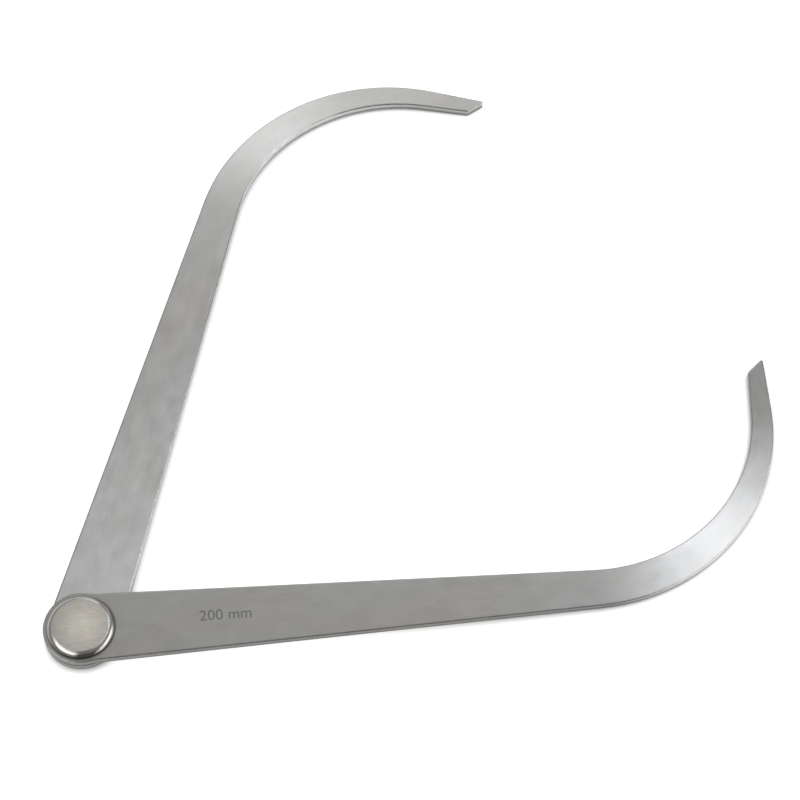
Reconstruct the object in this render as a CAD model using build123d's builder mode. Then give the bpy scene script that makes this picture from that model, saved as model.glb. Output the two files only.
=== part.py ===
from build123d import *
import os
from math import cos, radians, sin

os.makedirs("parts", exist_ok=True)

# Outside caliper with a firm joint, nominal size 200 mm.
# Two legs of one flat blank lie face to face on a rivet, the second one turned over,
# and a disc on each side clamps them so that they stay where they are set.
# Frame: origin on the rivet's axis at the face of the back disc, +Z up the rivet,
# +Y along the middle of the opening towards the tips, +X towards the upper leg.

# Leg blank. Its own X runs along the leg from the rivet, its Y towards the inside of the bow.
leg_reach = 190.0           # rivet's axis to the back of the bow, 200 mm with the eye
leg_thickness = 2.2
eye_radius = 10.0           # round end at the joint
eye_shoulder = 0.4          # the eye stands this much proud of the long edges
eye_blend_radius = 12.0     # hollow between the eye and a long edge
leg_taper = 1.85            # degrees, slope of each long edge against the middle line
outer_bow_radius = 54.8
inner_bow_lead = 1.05       # the inner bow starts this much nearer the rivet than the outer one
tip_root_width = 5.55       # between the backs of the two bows, where the tip begins
tip_straight = 15.9         # straight end of the outer edge, past the bow
tip_taper = 4.8             # degrees, slope of the inner edge of the tip against the outer one
tip_cut_angle = 42.0        # degrees, slope of the end cut against the middle line
tip_radius = 0.5            # rounded measuring corner
heel_radius = 0.3           # rounded inner corner of the end cut
edge_break = 0.2            # small bevel along both faces

# Joint
opening_angle = 71.5        # degrees between the middle lines of the legs, as set in the photo
rivet_radius = 2.5
rivet_flare = 0.6           # its ends are spread by this much, into the discs
rivet_flare_depth = 0.6
leg_hole_slack = 0.05       # radial running fit of the legs on the rivet
disc_radius = 8.8
disc_height = 1.6
disc_foot = 0.5             # straight foot of the rim
rim_width = 1.4             # rounded rim, seen from above
rim_radius = 3.0            # curve of the rim, meeting the ground face at an edge

# Stack along the rivet, from the back disc's face upwards
lower_leg_z = disc_height
upper_leg_z = lower_leg_z + leg_thickness
front_disc_z = upper_leg_z + leg_thickness
stack_height = front_disc_z + disc_height

# Points of the blank that follow from the sizes above
edge_sin = sin(radians(leg_taper))
edge_cos = cos(radians(leg_taper))
edge_offset = eye_radius - eye_shoulder           # from the rivet's axis square to a long edge
edge_root_x = edge_offset * edge_sin
edge_root_y = edge_offset * edge_cos
outer_bow_start_x = leg_reach - outer_bow_radius * (1 - edge_sin)
inner_bow_start_x = outer_bow_start_x - inner_bow_lead
outer_edge_length = (outer_bow_start_x - edge_root_x) / edge_cos
inner_edge_length = (inner_bow_start_x - edge_root_x) / edge_cos
inner_bow_radius = (leg_reach - tip_root_width - inner_bow_start_x) / (1 + edge_sin)
cut_line_length = outer_bow_radius                # longer than the tip is wide
rivet_end_radius = rivet_radius + rivet_flare
disc_face_radius = disc_radius - rim_width


# Leg blank: one outline for both legs
with BuildSketch() as leg_blank:
    with BuildLine():
        outer_edge = PolarLine((edge_root_x, -edge_root_y), outer_edge_length, leg_taper)
        outer_bow = JernArc(outer_edge @ 1, outer_edge % 1, outer_bow_radius, 90 - leg_taper)
        tip_back = PolarLine(outer_bow @ 1, tip_straight, 90)
        inner_edge = PolarLine((edge_root_x, edge_root_y), inner_edge_length, -leg_taper)
        inner_bow = JernArc(inner_edge @ 1, inner_edge % 1, inner_bow_radius, 90 - tip_taper + leg_taper)
        cut_line = PolarLine(tip_back @ 1, cut_line_length, 180 + tip_cut_angle, mode=Mode.PRIVATE)
        tip_inside = IntersectingLine(inner_bow @ 1, inner_bow % 1, cut_line)
        Line(tip_back @ 1, tip_inside @ 1)
        Line(outer_edge @ 0, inner_edge @ 0)
    make_face()
    Circle(eye_radius)
    eye_corners = leg_blank.vertices().sort_by_distance((0, 0, 0))[:2]
    fillet(eye_corners, radius=eye_blend_radius)
    measuring_corner = leg_blank.vertices().sort_by_distance(tip_back @ 1)[0]
    fillet(measuring_corner, radius=tip_radius)
    heel_corner = leg_blank.vertices().sort_by_distance(tip_inside @ 1)[0]
    fillet(heel_corner, radius=heel_radius)
    Circle(rivet_radius + leg_hole_slack, mode=Mode.SUBTRACT)


def leg_direction(side):
    # Middle line of a leg: side is 1 for the leg towards +X and -1 for the other one
    half_opening = radians(opening_angle / 2)
    return (side * sin(half_opening), cos(half_opening), 0)


# Upper leg: the blank face up
upper_leg_plane = Plane(origin=(0, 0, upper_leg_z), x_dir=leg_direction(1), z_dir=(0, 0, 1))
with BuildPart() as upper_leg:
    with BuildSketch(upper_leg_plane):
        add(leg_blank.sketch)
    extrude(amount=leg_thickness)
    leg_faces = upper_leg.faces().filter_by(Axis.Z)
    chamfer([face.outer_wire().edges() for face in leg_faces], length=edge_break)
upper_leg.part.label = "upper_leg"
export_step(upper_leg.part, "parts/upper_leg.step")


# Lower leg: the same blank turned over, so its bow faces the other one
lower_leg_plane = Plane(origin=(0, 0, upper_leg_z), x_dir=leg_direction(-1), z_dir=(0, 0, -1))
with BuildPart() as lower_leg:
    with BuildSketch(lower_leg_plane):
        add(leg_blank.sketch)
    extrude(amount=leg_thickness)
    leg_faces = lower_leg.faces().filter_by(Axis.Z)
    chamfer([face.outer_wire().edges() for face in leg_faces], length=edge_break)
lower_leg.part.label = "lower_leg"
export_step(lower_leg.part, "parts/lower_leg.step")


# Section of a disc: X is the radius, Y the height over the leg
with BuildSketch() as disc_section:
    with BuildLine():
        Polyline((rivet_radius, 0), (disc_radius, 0), (disc_radius, disc_foot))
        rim = RadiusArc((disc_radius, disc_foot), (disc_face_radius, disc_height), -rim_radius)
        Polyline(
            rim @ 1,
            (rivet_end_radius, disc_height),
            (rivet_radius, disc_height - rivet_flare_depth),
            (rivet_radius, 0),
        )
    make_face()


# Front disc, on the upper leg
with BuildPart() as front_disc:
    with BuildSketch(Plane(origin=(0, 0, front_disc_z), x_dir=(1, 0, 0), z_dir=(0, -1, 0))):
        add(disc_section.sketch)
    revolve(axis=Axis.Z)
front_disc.part.label = "front_disc"
export_step(front_disc.part, "parts/front_disc.step")


# Back disc, under the lower leg, with its flat face down
with BuildPart() as back_disc:
    with BuildSketch(Plane(origin=(0, 0, lower_leg_z), x_dir=(1, 0, 0), z_dir=(0, 1, 0))):
        add(disc_section.sketch)
    revolve(axis=Axis.Z)
back_disc.part.label = "back_disc"
export_step(back_disc.part, "parts/back_disc.step")


# Joint pin: a rivet whose ends are spread into the discs and ground flush
with BuildPart() as joint_pin:
    with BuildSketch(Plane.XZ):
        with BuildLine():
            Polyline(
                (0, 0),
                (rivet_end_radius, 0),
                (rivet_radius, rivet_flare_depth),
                (rivet_radius, stack_height - rivet_flare_depth),
                (rivet_end_radius, stack_height),
                (0, stack_height),
                close=True,
            )
        make_face()
    revolve(axis=Axis.Z)
joint_pin.part.label = "joint_pin"
export_step(joint_pin.part, "parts/joint_pin.step")
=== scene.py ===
import bmesh
import bpy
from math import cos, degrees, pi, radians, sin
from mathutils import Matrix, Vector


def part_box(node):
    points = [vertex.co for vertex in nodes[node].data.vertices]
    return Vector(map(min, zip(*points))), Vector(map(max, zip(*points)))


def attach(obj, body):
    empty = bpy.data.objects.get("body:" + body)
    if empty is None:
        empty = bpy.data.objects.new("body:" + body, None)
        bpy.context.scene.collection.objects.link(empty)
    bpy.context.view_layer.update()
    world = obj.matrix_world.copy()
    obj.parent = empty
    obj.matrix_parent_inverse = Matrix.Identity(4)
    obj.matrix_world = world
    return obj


# Outside caliper with a firm joint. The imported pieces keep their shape.
# Here they get their steel, the size mark, the floor, the light and the camera.
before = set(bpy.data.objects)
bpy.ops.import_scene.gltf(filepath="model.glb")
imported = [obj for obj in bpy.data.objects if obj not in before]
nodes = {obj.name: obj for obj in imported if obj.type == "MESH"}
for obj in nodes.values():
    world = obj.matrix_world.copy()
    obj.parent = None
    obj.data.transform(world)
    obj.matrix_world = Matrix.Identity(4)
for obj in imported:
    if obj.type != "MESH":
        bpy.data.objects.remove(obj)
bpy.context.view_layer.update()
scene = bpy.context.scene
mm = 0.001
upwards = Vector((0, 0, 1))
print("frame loaded:", ", ".join(sorted(nodes)))


# Small helpers for the node trees

def addNode(tree, kind, **settings):
    node = tree.nodes.new(kind)
    for name, value in settings.items():
        setattr(node, name, value)
    return node


def plug(tree, socket, value):
    # A link goes in as a link, and anything else as the socket's own value
    if isinstance(value, bpy.types.NodeSocket):
        tree.links.new(value, socket)
    else:
        socket.default_value = value


def calc(tree, operation, first, second=0.0):
    node = addNode(tree, "ShaderNodeMath", operation=operation)
    plug(tree, node.inputs[0], first)
    plug(tree, node.inputs[1], second)
    return node.outputs[0]


def product(tree, *levels):
    # All the levels multiplied
    result = levels[0]
    for level in levels[1:]:
        result = calc(tree, "MULTIPLY", result, level)
    return result


def hypotenuse(tree, first, second):
    squares = calc(tree, "ADD", product(tree, first, first), product(tree, second, second))
    return calc(tree, "SQRT", squares)


def calcVector(tree, operation, first, second):
    node = addNode(tree, "ShaderNodeVectorMath", operation=operation)
    plug(tree, node.inputs[0], first)
    plug(tree, node.inputs[1], second)
    return node.outputs["Value" if operation == "DOT_PRODUCT" else "Vector"]


def scaleVector(tree, vector, factor):
    node = addNode(tree, "ShaderNodeVectorMath", operation="SCALE")
    plug(tree, node.inputs[0], vector)
    plug(tree, node.inputs["Scale"], factor)
    return node.outputs["Vector"]


def vectorLength(tree, vector):
    node = addNode(tree, "ShaderNodeVectorMath", operation="LENGTH")
    plug(tree, node.inputs[0], vector)
    return node.outputs["Value"]


def flatVector(tree, x, y):
    node = addNode(tree, "ShaderNodeCombineXYZ")
    plug(tree, node.inputs["X"], x)
    plug(tree, node.inputs["Y"], y)
    return node.outputs[0]


def partOf(tree, vector, axis):
    # One part of a vector: X, Y or Z
    node = addNode(tree, "ShaderNodeSeparateXYZ")
    plug(tree, node.inputs[0], vector)
    return node.outputs[axis]


def toWorld(tree, vector):
    node = addNode(tree, "ShaderNodeVectorTransform", vector_type="VECTOR")
    node.convert_from = "OBJECT"
    node.convert_to = "WORLD"
    plug(tree, node.inputs[0], vector)
    return node.outputs[0]


def placeOnPiece(tree):
    return addNode(tree, "ShaderNodeTexCoord").outputs["Object"]


def ramp(tree, value, reach, fromValue=0.0, toValue=1.0, soft=False):
    # Takes a value from its reach, a low and a high end, into another range, held at both ends
    node = addNode(tree, "ShaderNodeMapRange", clamp=True)
    node.interpolation_type = "SMOOTHSTEP" if soft else "LINEAR"
    plug(tree, node.inputs["Value"], value)
    plug(tree, node.inputs["From Min"], reach[0])
    plug(tree, node.inputs["From Max"], reach[1])
    plug(tree, node.inputs["To Min"], fromValue)
    plug(tree, node.inputs["To Max"], toValue)
    return node.outputs["Result"]


def stray(tree, noise, reach, spread, middle):
    # A noise as a level that strays from its middle by the spread, to both sides
    return ramp(tree, noise, reach, middle - spread, middle + spread)


def mixColor(tree, factor, first, second, blend="MIX"):
    node = addNode(tree, "ShaderNodeMix", data_type="RGBA", blend_type=blend)
    plug(tree, node.inputs["Factor"], factor)
    plug(tree, node.inputs[6], first)
    plug(tree, node.inputs[7], second)
    return node.outputs[2]


def shaded(tree, color, shade):
    # A colour times a grey level
    grey = addNode(tree, "ShaderNodeCombineColor")
    for channel in range(3):
        plug(tree, grey.inputs[channel], shade)
    return mixColor(tree, 1.0, color, grey.outputs[0], blend="MULTIPLY")


def stretchedNoise(tree, vector, cell, detail=2.0, roughness=0.5, offset=(0, 0, 0)):
    # Flat noise whose cells are as long and wide as cell says, in metres
    mapping = addNode(tree, "ShaderNodeMapping")
    plug(tree, mapping.inputs["Vector"], vector)
    mapping.inputs["Scale"].default_value = (1 / cell[0], 1 / cell[1], 1)
    mapping.inputs["Location"].default_value = offset
    noise = addNode(tree, "ShaderNodeTexNoise")
    plug(tree, noise.inputs["Vector"], mapping.outputs["Vector"])
    noise.inputs["Scale"].default_value = 1.0
    noise.inputs["Detail"].default_value = detail
    noise.inputs["Roughness"].default_value = roughness
    return noise.outputs["Fac"]


def openness(tree, distance, samples):
    # 1 on an open surface, less where something stands within the distance
    occlusion = addNode(tree, "ShaderNodeAmbientOcclusion", samples=samples)
    occlusion.inputs["Distance"].default_value = distance
    return occlusion.outputs["AO"]


def newMaterial(name):
    material = bpy.data.materials.new(name)
    material.use_nodes = True
    tree = material.node_tree
    tree.nodes.clear()
    output = addNode(tree, "ShaderNodeOutputMaterial")
    shader = addNode(tree, "ShaderNodeBsdfPrincipled")
    tree.links.new(shader.outputs["BSDF"], output.inputs["Surface"])
    return material, tree, shader


def assign(thing, material):
    thing.data.materials.clear()
    thing.data.materials.append(material)


# Camera, as the photograph was taken

cameraSettings = {
    "lookAt": (2.612 * mm, 107.764 * mm, 5.7 * mm),
    "azimuth": 49.396,         # degrees, turned left from looking along +Y
    "elevation": 61.115,       # degrees above the legs
    "distance": 722.27 * mm,
    "lens": 118.5,             # millimetres, as Blender counts lens and sensor
    "sensor": 36.0,
}


def pictureDirection(azimuth, elevation):
    # Unit vector in the part's frame: azimuth counts from the picture's right, through its far side
    turned = radians(azimuth + cameraSettings["azimuth"])
    raised = radians(elevation)
    return Vector((cos(turned) * cos(raised), sin(turned) * cos(raised), sin(raised)))


pictureRight = pictureDirection(0, 0)
pictureFar = pictureDirection(90, 0)
pictureNear = pictureDirection(-90, 0)


def addCamera():
    data = bpy.data.cameras.new("camera")
    data.lens = cameraSettings["lens"]
    data.sensor_width = cameraSettings["sensor"]
    camera = bpy.data.objects.new("camera", data)
    scene.collection.objects.link(camera)
    towardsCamera = pictureDirection(-90, cameraSettings["elevation"])
    camera.location = Vector(cameraSettings["lookAt"]) + cameraSettings["distance"] * towardsCamera
    camera.rotation_euler = (
        radians(90 - cameraSettings["elevation"]),
        0,
        radians(cameraSettings["azimuth"]),
    )
    scene.camera = camera


addCamera()
print("camera placed")


# Shared by the finishes of legs and discs

grindingDepth = 0.02 * mm
wideReach = (0.25, 0.75)       # nearly all of a noise's values lie between these
usualReach = (0.3, 0.7)        # and most of them between these

seams = {
    "openness": (0.55, 0.95),  # from the darkest painted shade of a seam to where it ends
    "samples": 4,
    "shadowSideAzimuth": -40,       # degrees in the picture: the painted shade is deeper on this side of the joint, a painted shadow
    "shadowSideReach": (-7 * mm, 3 * mm),
}


def shadowSideLevel(tree, litSideShade, shadowSideShade):
    # From the lit side of the joint to its shadow side: painted shadow
    towardsShadowSide = pictureDirection(seams["shadowSideAzimuth"], 0)
    reach = calcVector(tree, "DOT_PRODUCT", placeOnPiece(tree), towardsShadowSide)
    return ramp(tree, reach, seams["shadowSideReach"], litSideShade, shadowSideShade)


def seamLevel(tree, distance, litSideShade, shadowSideShade):
    # Painted shade beside the discs and between the legs, where little open sky reaches, deeper on the
    # shadow side
    seam = openness(tree, distance, seams["samples"])
    return ramp(tree, seam, seams["openness"], shadowSideLevel(tree, litSideShade, shadowSideShade), 1.0)


def setGrinding(tree, shader, direction, normal, anisotropic):
    # Gloss spreads across the grinding lines, on faces, bevels and walls alike
    across = calcVector(tree, "CROSS_PRODUCT", normal, toWorld(tree, direction))
    plug(tree, shader.inputs["Tangent"], across)
    shader.inputs["Metallic"].default_value = 1.0
    shader.inputs["Anisotropic"].default_value = anisotropic


def addBump(tree, shader, normal, layers):
    # Each layer is its height, how far it stands out, and its strength
    for height, distance, strength in layers:
        bump = addNode(tree, "ShaderNodeBump")
        plug(tree, bump.inputs["Height"], height)
        plug(tree, bump.inputs["Distance"], distance)
        plug(tree, bump.inputs["Strength"], strength)
        plug(tree, bump.inputs["Normal"], normal)
        normal = bump.outputs["Normal"]
    plug(tree, shader.inputs["Normal"], normal)


# Leg steel, ground along the leg and round the bow

legShape = {
    "halfOpening": 35.75,                       # degrees from +Y to the middle line of a leg
    "bowCentre": (136.3 * mm, 50.9 * mm),       # along the leg and to its inside
    "bowRadius": 50.9 * mm,                     # middle of the bow
}

legSteel = {
    "color": (0.440, 0.433, 0.418, 1),
    "warmColor": (0.432, 0.418, 0.394, 1),
    "clouds": {"cell": (30 * mm, 12 * mm)},     # of the warmer colour
    "cloudReach": (0.35, 0.65),
    "grinding": {"cell": (4 * mm, 0.22 * mm), "detail": 3.0, "roughness": 0.6},
    "grindingSpread": 0.05,
    "grindingBump": 0.05,
    "streaks": {"cell": (26 * mm, 1.1 * mm), "detail": 3.0, "roughness": 0.55},
    "streakSpread": 0.02,
    "mottle": {"cell": (7 * mm, 4 * mm), "detail": 4.0, "roughness": 0.6},
    "mottleSpread": 0.05,
    "mottleGloss": 0.03,                        # how far the roughness goes with it
    "pits": {"cell": (0.9 * mm, 0.6 * mm), "detail": 0.0},
    "pitReach": (0.82, 0.86),                   # high up in the noise, so that they are few
    "pitShade": 0.75,
    "wander": {"cell": (9 * mm, 4 * mm), "offset": (5, 3, 0)},
    "wanderAngle": radians(3),                  # how far the grinding strays from the leg's line
    "waves": {"cell": (8 * mm, 6 * mm), "detail": 1.0, "offset": (2, 9, 0)},
    "waveHeight": 0.10 * mm,                    # hand finishing left the faces a little wavy
    "roughness": 0.42,
    "anisotropic": 0.77,
    "eyeWallShade": 0.5,                        # walls against faces: painted shade round the eye
    "eyeWallReach": (12 * mm, 25 * mm),         # along the leg, where the straight's level takes over
    "bowWallReach": (radians(5), radians(35)),  # round the bow, where the bow's level does
    # painted shade on the walls again towards the tip
    "tipWallReach": (radians(50), radians(82)),
    "tipWallShade": 0.82,
    "lowerEdgeShade": 0.3,                      # painted shade on walls along their lower edge
    "lowerEdgeHeight": 1.3 * mm,
    "edgeRound": 0.55 * mm,                     # worn round over the small bevels
    "edgeSamples": 6,
    "edgeRoughness": 0.27,
    "wallToBevel": (0.3, 0.6),                  # flatness, which is 0 on a wall and 1 on a face
    "bevelToFace": (0.93, 0.985),
    "edgeGlossReach": (0.85, 0.97),
    # painted shade at the seams beside the disc and between the legs
    "seamDistance": 0.7 * mm,
    "seamShade": 0.12,
}

legFinishes = {
    "upper_leg": {
        "side": 1,
        "shade": 0.93,          # this leg as a whole: below 1 a painted shade on the same steel
        "wallShade": 0.45,      # along the straight: below 1 painted shade, above 1 painted highlight
        # painted highlight on the walls round the bow
        "bowWallHighlight": 1.7,
        # painted shade on the bevels
        "bevelShade": 0.72,
        "litSideSeamShade": 0.6,
    },
    "lower_leg": {
        "side": -1,
        "shade": 1.0,
        "wallShade": 1.15,
        "bowWallHighlight": 1.2,
        "bevelShade": 0.6,
        "litSideSeamShade": 0.2,
    },
}


def legAxes(side):
    # Along the leg and to its inside: side is 1 for the upper leg and -1 for the lower one
    half = radians(legShape["halfOpening"])
    along = (side * sin(half), cos(half), 0)
    inside = (-side * cos(half), sin(half), 0)
    return along, inside


def legGrain(tree, side):
    # Place in the grinding, along it and across it, and the angle by which it has turned round the bow
    along, inside = legAxes(side)
    centreAlong, centreInside = legShape["bowCentre"]
    place = placeOnPiece(tree)
    fromRivet = calcVector(tree, "DOT_PRODUCT", place, along)
    fromMiddle = calcVector(tree, "DOT_PRODUCT", place, inside)
    pastStart = calc(tree, "MAXIMUM", calc(tree, "SUBTRACT", fromRivet, centreAlong), 0.0)
    beforeEnd = calc(tree, "MAXIMUM", calc(tree, "SUBTRACT", centreInside, fromMiddle), 0.0)
    afterEnd = calc(tree, "MAXIMUM", calc(tree, "SUBTRACT", fromMiddle, centreInside), 0.0)
    turn = calc(tree, "ARCTAN2", pastStart, beforeEnd)
    straight = calc(tree, "MINIMUM", fromRivet, centreAlong)
    rounded = calc(tree, "ADD", product(tree, turn, legShape["bowRadius"]), afterEnd)
    length = calc(tree, "ADD", straight, rounded)
    return flatVector(tree, length, hypotenuse(tree, pastStart, beforeEnd)), turn


def legDirection(tree, side, turn):
    along, inside = legAxes(side)
    return calcVector(
        tree,
        "ADD",
        scaleVector(tree, along, calc(tree, "COSINE", turn)),
        scaleVector(tree, inside, calc(tree, "SINE", turn)),
    )


def roundedNormal(tree, settings):
    bevel = addNode(tree, "ShaderNodeBevel", samples=settings["edgeSamples"])
    bevel.inputs["Radius"].default_value = settings["edgeRound"]
    return bevel.outputs["Normal"]


def wallPaintedLight(tree, grain, turn, finish, settings):
    # Painted shade and highlight on walls by how they face the light: eye, straight, bow and tip
    length = partOf(tree, grain, "X")
    level = ramp(tree, length, settings["eyeWallReach"], settings["eyeWallShade"], finish["wallShade"])
    level = ramp(tree, turn, settings["bowWallReach"], level, finish["bowWallHighlight"])
    return ramp(tree, turn, settings["tipWallReach"], level, settings["tipWallShade"])


def edgeLevel(tree, flat, wall, bottom, finish, settings):
    # From a wall with painted shade along its lower edge, over the bevel with its painted shade, to 1
    # on the face
    height = partOf(tree, placeOnPiece(tree), "Z")
    lowerReach = (bottom, bottom + settings["lowerEdgeHeight"])
    lowerEdge = ramp(tree, height, lowerReach, settings["lowerEdgeShade"], 1.0)
    edge = ramp(tree, flat, settings["wallToBevel"], wall, finish["bevelShade"])
    return ramp(tree, flat, settings["bevelToFace"], product(tree, edge, lowerEdge), 1.0)


def makeLegSteel(name, finish, bottom, settings):
    material, tree, shader = newMaterial(name)
    grain, turn = legGrain(tree, finish["side"])
    normal = roundedNormal(tree, settings)
    flat = calc(tree, "ABSOLUTE", partOf(tree, normal, "Z"))
    grinding = stretchedNoise(tree, grain, **settings["grinding"])
    streaks = stretchedNoise(tree, grain, **settings["streaks"])
    mottle = stretchedNoise(tree, grain, **settings["mottle"])
    clouds = stretchedNoise(tree, grain, **settings["clouds"])
    pits = stretchedNoise(tree, grain, **settings["pits"])
    wander = stretchedNoise(tree, grain, **settings["wander"])
    waves = stretchedNoise(tree, grain, **settings["waves"])

    # Colour: clean steel with warmer clouds, ground, streaked and mottled, with a few pits, and
    # painted shade and highlight at seams and edges
    warm = ramp(tree, clouds, settings["cloudReach"])
    face = mixColor(tree, warm, settings["color"], settings["warmColor"])
    wall = wallPaintedLight(tree, grain, turn, finish, settings)
    shade = product(
        tree,
        stray(tree, grinding, wideReach, settings["grindingSpread"], 1.0),
        stray(tree, streaks, usualReach, settings["streakSpread"], 1.0),
        stray(tree, mottle, usualReach, settings["mottleSpread"], 1.0),
        ramp(tree, pits, settings["pitReach"], 1.0, settings["pitShade"]),
        seamLevel(tree, settings["seamDistance"], finish["litSideSeamShade"], settings["seamShade"]),
        edgeLevel(tree, flat, wall, bottom, finish, settings),
        finish["shade"],
    )
    plug(tree, shader.inputs["Base Color"], shaded(tree, face, shade))

    # Gloss: satin on the faces, smoother over the worn edges
    rough = stray(tree, mottle, usualReach, settings["mottleGloss"], settings["roughness"])
    rough = ramp(tree, flat, settings["edgeGlossReach"], settings["edgeRoughness"], rough)
    plug(tree, shader.inputs["Roughness"], rough)
    strayed = calc(tree, "ADD", turn, stray(tree, wander, wideReach, settings["wanderAngle"], 0.0))
    direction = legDirection(tree, finish["side"], strayed)
    setGrinding(tree, shader, direction, normal, settings["anisotropic"])
    layers = (
        (waves, settings["waveHeight"], 1.0),
        (grinding, grindingDepth, settings["grindingBump"]),
    )
    addBump(tree, shader, normal, layers)
    return material


for legName, legFinish in legFinishes.items():
    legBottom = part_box(legName)[0].z
    assign(nodes[legName], makeLegSteel(legName + "_steel", legFinish, legBottom, legSteel))
print("legs finished")


# Discs: face ground in shallow arcs, rim polished

discSteel = {
    "color": (0.60, 0.585, 0.50, 1),
    "paleColor": (0.66, 0.60, 0.575, 1),
    "clouds": {"cell": (3 * mm, 0.9 * mm), "detail": 1.0},     # of the pale colour
    "cloudReach": (0.4, 0.6),
    "middleColor": (0.66, 0.635, 0.535, 1),                    # warmer round the rivet
    "middleRadius": 5.5 * mm,
    "grinding": {"cell": (2.6 * mm, 0.5 * mm), "detail": 3.0, "roughness": 0.6},
    "grindingSpread": 0.12,
    "grindingBump": 0.08,
    "arcCentre": (-6 * mm, -34 * mm),      # of the grinding, to the picture's right and far side
    "edgeShade": 0.80,                     # face darker near its edge: painted shade
    "edgeStart": 2.5 * mm,
    "faceRadius": 7.4 * mm,                # ground face inside it, rim outside it
    "faceBlend": 0.04 * mm,
    "faceRoughness": 0.38,
    "anisotropic": 0.8,
    "rimColor": (0.42, 0.41, 0.39, 1),
    "rimRoughness": 0.27,
    "polishStart": 7.6 * mm,               # the rim is as smooth as that from here outwards
    "footReach": (8.2 * mm, 8.5 * mm),     # further out the rim is darker: painted shade, also over its reflections
    "footShade": 0.4,
    "litSideFootShade": 0.8,                 # on the lit side of the joint, where the painted shadow is lighter
    "rivetRadius": 3.1 * mm,
    "rivetLine": 0.08 * mm,                # faint ring where the rivet is spread into the disc
    "rivetShade": 0.90,
    # painted shade at the seam round the disc's foot
    "seamDistance": 0.6 * mm,
    "seamShade": 0.5,
    "litSideSeamShade": 0.85,
}


def discGrain(tree, settings):
    # Place in the grinding arcs, along them and across them, and their direction
    acrossCentre, farCentre = settings["arcCentre"]
    centre = acrossCentre * pictureRight + farCentre * pictureFar
    fromCentre = calcVector(tree, "SUBTRACT", placeOnPiece(tree), centre)
    toRight = calcVector(tree, "DOT_PRODUCT", fromCentre, pictureRight)
    toFar = calcVector(tree, "DOT_PRODUCT", fromCentre, pictureFar)
    turn = calc(tree, "ARCTAN2", toRight, toFar)
    length = product(tree, turn, -farCentre)
    direction = calcVector(
        tree,
        "SUBTRACT",
        scaleVector(tree, pictureRight, calc(tree, "COSINE", turn)),
        scaleVector(tree, pictureFar, calc(tree, "SINE", turn)),
    )
    return flatVector(tree, length, hypotenuse(tree, toRight, toFar)), direction


def discFace(tree, radius, grain, grinding, settings):
    clouds = stretchedNoise(tree, grain, **settings["clouds"])
    pale = ramp(tree, clouds, settings["cloudReach"])
    color = mixColor(tree, pale, settings["color"], settings["paleColor"])
    nearMiddle = ramp(tree, radius, (0.0, settings["middleRadius"]), 1.0, 0.0, soft=True)
    color = mixColor(tree, nearMiddle, color, settings["middleColor"])
    fromRing = calc(tree, "ABSOLUTE", calc(tree, "SUBTRACT", radius, settings["rivetRadius"]))
    edgeReach = (settings["edgeStart"], settings["faceRadius"])
    shade = product(
        tree,
        stray(tree, grinding, wideReach, settings["grindingSpread"], 1.0),
        ramp(tree, fromRing, (0.0, settings["rivetLine"]), settings["rivetShade"], 1.0),
        # painted shade towards the face's edge
        ramp(tree, radius, edgeReach, 1.0, settings["edgeShade"]),
    )
    return shaded(tree, color, shade)


def discRim(tree, radius, settings):
    # Painted shade over the rim's outer part, deeper on the shadow side of the joint
    footShadeLevel = shadowSideLevel(tree, settings["litSideFootShade"], settings["footShade"])
    return shaded(tree, settings["rimColor"], ramp(tree, radius, settings["footReach"], 1.0, footShadeLevel))


def makeDiscSteel(name, settings):
    material, tree, shader = newMaterial(name)
    grain, direction = discGrain(tree, settings)
    grinding = stretchedNoise(tree, grain, **settings["grinding"])
    radius = vectorLength(tree, calcVector(tree, "MULTIPLY", placeOnPiece(tree), (1, 1, 0)))
    faceRadius = settings["faceRadius"]
    blend = settings["faceBlend"]
    onRim = ramp(tree, radius, (faceRadius - blend, faceRadius + blend))

    face = discFace(tree, radius, grain, grinding, settings)
    color = mixColor(tree, onRim, face, discRim(tree, radius, settings))
    # Painted shade at the seam round the disc's foot, deeper on the shadow side
    seam = seamLevel(tree, settings["seamDistance"], settings["litSideSeamShade"], settings["seamShade"])
    plug(tree, shader.inputs["Base Color"], shaded(tree, color, seam))

    polishReach = (faceRadius, settings["polishStart"])
    rough = ramp(tree, radius, polishReach, settings["faceRoughness"], settings["rimRoughness"])
    plug(tree, shader.inputs["Roughness"], rough)
    normal = addNode(tree, "ShaderNodeNewGeometry").outputs["Normal"]
    setGrinding(tree, shader, direction, normal, settings["anisotropic"])
    strength = ramp(tree, onRim, (0, 1), settings["grindingBump"], 0.0)
    addBump(tree, shader, normal, ((grinding, grindingDepth, strength),))
    return material


discMaterial = makeDiscSteel("disc steel", discSteel)
for discName in ("front_disc", "back_disc", "joint_pin"):
    assign(nodes[discName], discMaterial)
print("discs and rivet finished")


# Size mark: plain dark etching on the upper leg

sizeMark = {
    "text": "200 mm",
    "height": 4.2 * mm,
    "along": 38 * mm,          # from the rivet to the middle of the words
    "inside": 0.5 * mm,        # from the leg's middle line
    "thickness": 0.02 * mm,
    "sunk": 0.01 * mm,
    "color": (0.115, 0.112, 0.105, 1),
    "roughness": 0.55,
}


def markWords(settings):
    # The words as a mesh, lying round the origin
    words = bpy.data.curves.new("size_mark", "FONT")
    words.body = settings["text"]
    words.size = settings["height"]
    words.align_x = "CENTER"
    words.align_y = "CENTER"
    words.extrude = settings["thickness"] / 2
    drawn = bpy.data.objects.new("size_mark_words", words)
    scene.collection.objects.link(drawn)
    bpy.context.view_layer.update()
    evaluated = drawn.evaluated_get(bpy.context.evaluated_depsgraph_get())
    mesh = bpy.data.meshes.new_from_object(evaluated)
    bpy.data.objects.remove(drawn)
    return mesh


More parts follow.
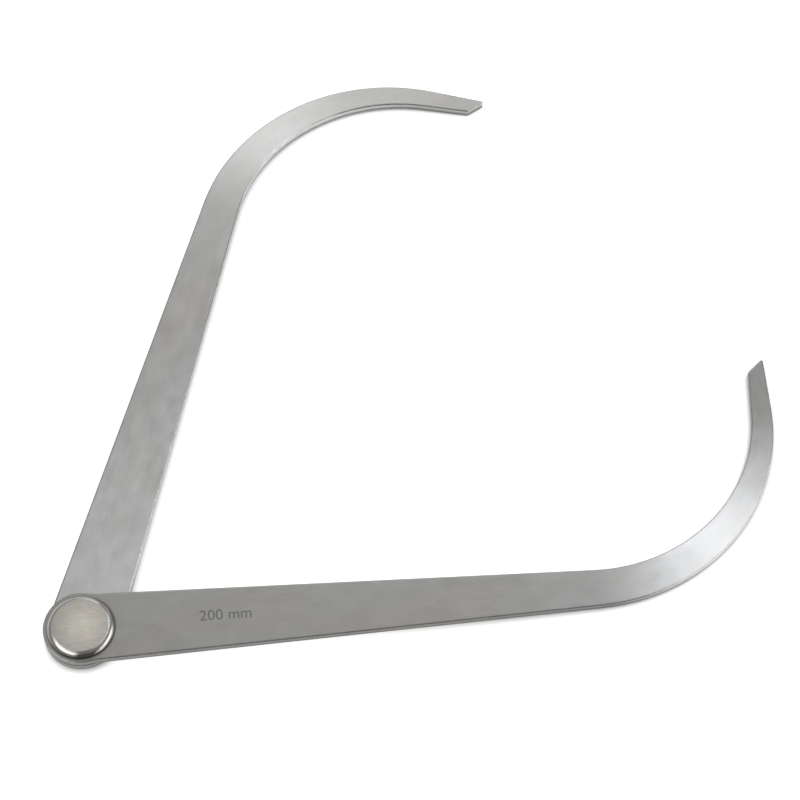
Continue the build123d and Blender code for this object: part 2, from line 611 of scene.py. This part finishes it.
def makeSizeMark(settings):
    mesh = markWords(settings)
    along, inside = legAxes(legFinishes["upper_leg"]["side"])
    middle = settings["along"] * Vector(along) + settings["inside"] * Vector(inside)
    middle.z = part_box("upper_leg")[1].z + settings["thickness"] / 2 - settings["sunk"]
    turned = Matrix((along, inside, upwards)).transposed().to_4x4()
    mesh.transform(Matrix.Translation(middle) @ turned)
    mark = bpy.data.objects.new("size_mark", mesh)
    scene.collection.objects.link(mark)
    material, tree, shader = newMaterial("etched mark")
    shader.inputs["Base Color"].default_value = settings["color"]
    shader.inputs["Roughness"].default_value = settings["roughness"]
    assign(mark, material)
    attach(mark, "upper")


makeSizeMark(sizeMark)
print("size mark placed")


# Floor: pale and plain, under the points that the caliper rests on

floorSettings = {
    "size": 60.0,
    "color": (0.64, 0.64, 0.64, 1),
    "glow": 0.65,                  # what the lit floor lacks to white, seen directly or reflected
    "contactDistance": 2.6 * mm,   # of the painted contact shadow under the edges
    "contactOpenness": (0.3, 0.85),
    "contactShade": 0.0,
    "contactSamples": 8,
    "settleSteps": 8,
}


def lowestPoint(node, up):
    return min((vertex.co for vertex in node.data.vertices), key=lambda place: place.dot(up))


def restingPlane(steps):
    # The back disc and both bows touch the floor: settle the plane on them in a few steps
    up = upwards
    for step in range(steps):
        disc, firstBow, secondBow = [
            lowestPoint(nodes[name], up) for name in ("back_disc", "upper_leg", "lower_leg")
        ]
        up = (firstBow - disc).cross(secondBow - disc).normalized()
    return disc, up


def backdropRays(tree):
    # 1 for rays that show the background: camera, glossy and transmission
    path = addNode(tree, "ShaderNodeLightPath")
    seen = calc(tree, "MAXIMUM", path.outputs["Is Camera Ray"], path.outputs["Is Glossy Ray"])
    return calc(tree, "MAXIMUM", seen, path.outputs["Is Transmission Ray"])


def paleFloor(settings):
    material, tree, shader = newMaterial("pale floor")
    shader.inputs["Base Color"].default_value = settings["color"]
    shader.inputs["Roughness"].default_value = 1.0
    shader.inputs["Specular IOR Level"].default_value = 0.0
    shader.inputs["Emission Color"].default_value = (1, 1, 1, 1)
    # The glow fades beside the caliper: painted contact shadow, seen directly and in reflections
    contact = openness(tree, settings["contactDistance"], settings["contactSamples"])
    paintedShadowLevel = ramp(tree, contact, settings["contactOpenness"], settings["contactShade"], 1.0)
    glow = product(tree, backdropRays(tree), settings["glow"], paintedShadowLevel)
    plug(tree, shader.inputs["Emission Strength"], glow)
    return material


def makeFloor(settings):
    contact, up = restingPlane(settings["settleSteps"])
    turned = up.to_track_quat("Z", "Y").to_matrix().to_4x4()
    shape = bmesh.new()
    bmesh.ops.create_grid(
        shape,
        x_segments=1,
        y_segments=1,
        size=settings["size"] / 2,
        matrix=Matrix.Translation(contact) @ turned,
    )
    mesh = bpy.data.meshes.new("floor")
    shape.to_mesh(mesh)
    shape.free()
    floor = bpy.data.objects.new("floor", mesh)
    scene.collection.objects.link(floor)
    assign(floor, paleFloor(settings))
    print("floor tilt, degrees:", round(degrees(up.angle(upwards)), 2))


makeFloor(floorSettings)


# Light: an even pale room and soft boxes round the object. A level of 1 is seen as white.

room = {
    "lowLevel": 0.38,              # near the horizon
    "highLevel": 0.50,             # overhead
    "heightReach": (0.25, 0.65),   # sines of the elevations between which it changes
    "lowFrontShade": 0.85,         # how much darker the side behind the camera is, low down
    "highFrontShade": 0.7,
    "frontReach": (0.1, 0.7),
    "backdropLevel": 1.0,          # pale backdrop over the floor, seen directly or reflected
    "backdropReach": (0.0, 0.06),  # sines of the elevations between which it fades
}

softBoxes = {
    "far": {
        "azimuth": 98,
        "elevation": 34,
        "distance": 0.54,
        "size": (0.28, 0.26),
        "level": 2.3,
        "color": (0.935, 0.965, 0.99),
    },
    "high": {
        "azimuth": 21,
        "elevation": 63,
        "distance": 0.73,
        "size": (0.175, 0.175),
        "level": 16.5,
        "color": (0.86, 0.905, 1.0),
    },
    "right": {
        "azimuth": -18,
        "elevation": 18,
        "distance": 1.2,
        "size": (1.6, 0.45),
        "level": 5.0,
        "color": (1.0, 0.99, 0.97),
    },
    "frontLeft": {
        "azimuth": 222,
        "elevation": 34,
        "distance": 1.2,
        "size": (1.1, 0.42),
        "level": 4.2,
        "color": (1.0, 0.99, 0.98),
    },
}


def addSoftBox(name, settings):
    data = bpy.data.lights.new(name, "AREA")
    data.shape = "RECTANGLE"
    data.size, data.size_y = settings["size"]
    data.energy = settings["level"] * pi * data.size * data.size_y
    data.color = settings["color"]
    lamp = bpy.data.objects.new(name, data)
    scene.collection.objects.link(lamp)
    direction = pictureDirection(settings["azimuth"], settings["elevation"])
    lamp.location = Vector(cameraSettings["lookAt"]) + settings["distance"] * direction
    lamp.rotation_euler = direction.to_track_quat("Z", "Y").to_euler()


def makeRoom(settings):
    world = bpy.data.worlds.new("room")
    world.use_nodes = True
    tree = world.node_tree
    tree.nodes.clear()
    output = addNode(tree, "ShaderNodeOutputWorld")
    background = addNode(tree, "ShaderNodeBackground")
    background.inputs["Color"].default_value = (1, 1, 1, 1)
    tree.links.new(background.outputs[0], output.inputs["Surface"])
    direction = addNode(tree, "ShaderNodeTexCoord").outputs["Generated"]
    height = partOf(tree, direction, "Z")
    heightReach = settings["heightReach"]
    level = ramp(tree, height, heightReach, settings["lowLevel"], settings["highLevel"], soft=True)
    towardsFront = calcVector(tree, "DOT_PRODUCT", direction, pictureNear)
    front = ramp(tree, towardsFront, settings["frontReach"], soft=True)
    shade = ramp(tree, height, heightReach, settings["lowFrontShade"], settings["highFrontShade"])
    level = product(tree, level, calc(tree, "SUBTRACT", 1.0, product(tree, front, shade)))
    low = ramp(tree, height, settings["backdropReach"], 1.0, 0.0)
    seen = product(tree, backdropRays(tree), low)
    strength = ramp(tree, seen, (0, 1), level, settings["backdropLevel"])
    plug(tree, background.inputs["Strength"], strength)
    scene.world = world


for boxName, boxSettings in softBoxes.items():
    addSoftBox(boxName, boxSettings)
makeRoom(room)
scene.view_settings.view_transform = "Standard"
print("light set")
